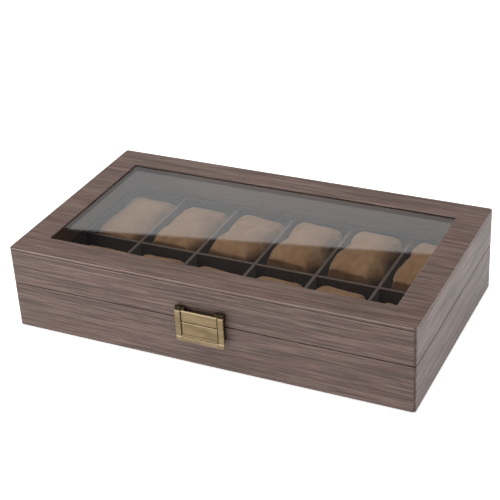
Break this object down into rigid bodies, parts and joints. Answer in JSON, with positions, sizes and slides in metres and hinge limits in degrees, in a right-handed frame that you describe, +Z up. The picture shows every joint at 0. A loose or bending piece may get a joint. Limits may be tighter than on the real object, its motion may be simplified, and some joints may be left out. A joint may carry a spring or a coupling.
{
  "type": "watch box",
  "caption": "Rectangular box with a hinged glazed lid, a swinging bail latch and a divided tray of removable watch pillows.",
  "frame": {"origin": "middle of the underside", "axes": "+X to the right along the front, +Y from the latch to the hinges, +Z up"},
  "size_m": [0.32, 0.1889, 0.069],
  "materials": {
    "wood_grain_wrap": "satin wood-grain leatherette wrapped over board",
    "tray_card": "dark suedette over card",
    "tray_floor": "dark suedette pad",
    "felt": "felt",
    "plain_board": "stained board",
    "glass": "clear polished",
    "antique_brass": "aged satin",
    "hinge_brass": "satin",
    "screw_steel": "brassed steel",
    "pillow_suede": "soft brushed suedette"
  },
  "bodies": {
    "base": {"base_front_wall": "wood_grain_wrap", "base_back_wall": "wood_grain_wrap", "base_left_wall": "wood_grain_wrap", "base_right_wall": "wood_grain_wrap", "base_bottom_board": "plain_board", "base_felt": "felt", "tray_floor_pad": "tray_floor", "tray_front_lining": "tray_card", "tray_back_lining": "tray_card", "tray_left_lining": "tray_card", "tray_right_lining": "tray_card", "divider_long": "tray_card", "divider_cross_1": "tray_card", "divider_cross_2": "tray_card", "divider_cross_3": "tray_card", "divider_cross_4": "tray_card", "divider_cross_5": "tray_card", "latch_keeper": "antique_brass", "latch_keeper_nails": "antique_brass", "hinge_left_base_leaf": "hinge_brass", "hinge_right_base_leaf": "hinge_brass", "hinge_base_screws": "screw_steel", "hinge_left_pin": "hinge_brass", "hinge_right_pin": "hinge_brass"},
    "lid": {"lid_front_wall": "wood_grain_wrap", "lid_back_wall": "wood_grain_wrap", "lid_left_wall": "wood_grain_wrap", "lid_right_wall": "wood_grain_wrap", "lid_top_frame": "wood_grain_wrap", "lid_glass": "glass", "glass_bead_front": "plain_board", "glass_bead_back": "plain_board", "glass_bead_left": "plain_board", "glass_bead_right": "plain_board", "hinge_left_lid_leaf": "hinge_brass", "hinge_right_lid_leaf": "hinge_brass", "hinge_lid_screws": "screw_steel", "latch_lid_plate": "antique_brass", "latch_lid_nails": "antique_brass", "latch_pivot_pins": "antique_brass"},
    "latch_bail": {"latch_bail": "antique_brass"},
    "pillow_front_1": {"pillow_front_1": "pillow_suede"},
    "pillow_front_2": {"pillow_front_2": "pillow_suede"},
    "pillow_front_3": {"pillow_front_3": "pillow_suede"},
    "pillow_front_4": {"pillow_front_4": "pillow_suede"},
    "pillow_front_5": {"pillow_front_5": "pillow_suede"},
    "pillow_front_6": {"pillow_front_6": "pillow_suede"},
    "pillow_back_1": {"pillow_back_1": "pillow_suede"},
    "pillow_back_2": {"pillow_back_2": "pillow_suede"},
    "pillow_back_3": {"pillow_back_3": "pillow_suede"},
    "pillow_back_4": {"pillow_back_4": "pillow_suede"},
    "pillow_back_5": {"pillow_back_5": "pillow_suede"},
    "pillow_back_6": {"pillow_back_6": "pillow_suede"}
  },
  "joints": [
    {"name": "lid_hinge", "type": "hinge", "parent": "base", "child": "lid", "pos_m": [0, 0.0921, 0.03845], "axis": [-1, 0, 0], "range_deg": [0, 100]},
    {"name": "bail_pivot", "type": "hinge", "parent": "lid", "child": "latch_bail", "pos_m": [0, -0.092, 0.0484], "axis": [-1, 0, 0], "range_deg": [0, 135]},
    {"name": "pillow_front_1_lift", "type": "slide", "parent": "base", "child": "pillow_front_1", "axis": [0, 0, 1], "range_m": [0, 0.012]},
    {"name": "pillow_front_2_lift", "type": "slide", "parent": "base", "child": "pillow_front_2", "axis": [0, 0, 1], "range_m": [0, 0.012]},
    {"name": "pillow_front_3_lift", "type": "slide", "parent": "base", "child": "pillow_front_3", "axis": [0, 0, 1], "range_m": [0, 0.012]},
    {"name": "pillow_front_4_lift", "type": "slide", "parent": "base", "child": "pillow_front_4", "axis": [0, 0, 1], "range_m": [0, 0.012]},
    {"name": "pillow_front_5_lift", "type": "slide", "parent": "base", "child": "pillow_front_5", "axis": [0, 0, 1], "range_m": [0, 0.012]},
    {"name": "pillow_front_6_lift", "type": "slide", "parent": "base", "child": "pillow_front_6", "axis": [0, 0, 1], "range_m": [0, 0.012]},
    {"name": "pillow_back_1_lift", "type": "slide", "parent": "base", "child": "pillow_back_1", "axis": [0, 0, 1], "range_m": [0, 0.012]},
    {"name": "pillow_back_2_lift", "type": "slide", "parent": "base", "child": "pillow_back_2", "axis": [0, 0, 1], "range_m": [0, 0.012]},
    {"name": "pillow_back_3_lift", "type": "slide", "parent": "base", "child": "pillow_back_3", "axis": [0, 0, 1], "range_m": [0, 0.012]},
    {"name": "pillow_back_4_lift", "type": "slide", "parent": "base", "child": "pillow_back_4", "axis": [0, 0, 1], "range_m": [0, 0.012]},
    {"name": "pillow_back_5_lift", "type": "slide", "parent": "base", "child": "pillow_back_5", "axis": [0, 0, 1], "range_m": [0, 0.012]},
    {"name": "pillow_back_6_lift", "type": "slide", "parent": "base", "child": "pillow_back_6", "axis": [0, 0, 1], "range_m": [0, 0.012]}
  ]
}
